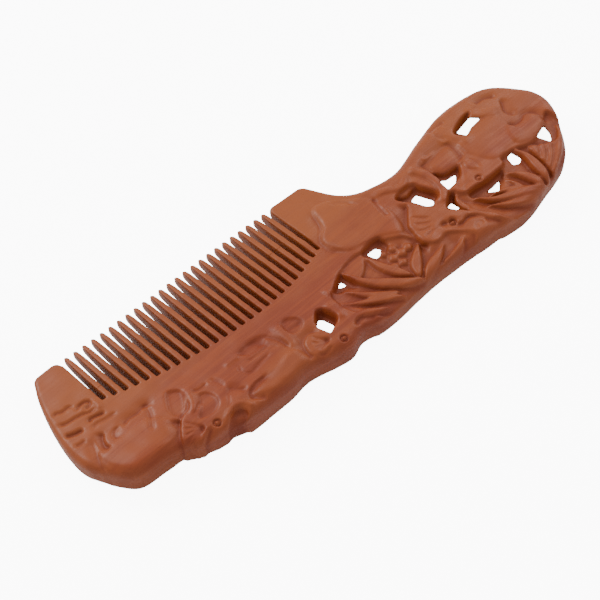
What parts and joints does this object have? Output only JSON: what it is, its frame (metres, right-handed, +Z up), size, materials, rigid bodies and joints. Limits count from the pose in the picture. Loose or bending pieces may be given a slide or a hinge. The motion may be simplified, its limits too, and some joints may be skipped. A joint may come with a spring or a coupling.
{
  "type": "beard comb",
  "caption": "Flat carved wooden comb for a beard: a row of fine tapered teeth between two guards, a thick rounded back and a pierced, relief-carved handle in line with it.",
  "frame": {"origin": "below the middle of the comb's box, on the surface that it lies on", "axes": "+X from the toe of the tooth row to the end of the handle, +Y the way the teeth point, +Z up out of the upper face"},
  "size_m": [0.182, 0.0556, 0.011],
  "materials": {
    "carved_wood": "satin, oiled red-brown hardwood",
    "tooth_wood": "satin, sanded red-brown hardwood"
  },
  "bodies": {
    "root": {"toe_guard": "carved_wood", "back": "carved_wood", "heel_guard": "carved_wood", "handle": "carved_wood", "teeth": "tooth_wood"}
  },
  "joints": []
}
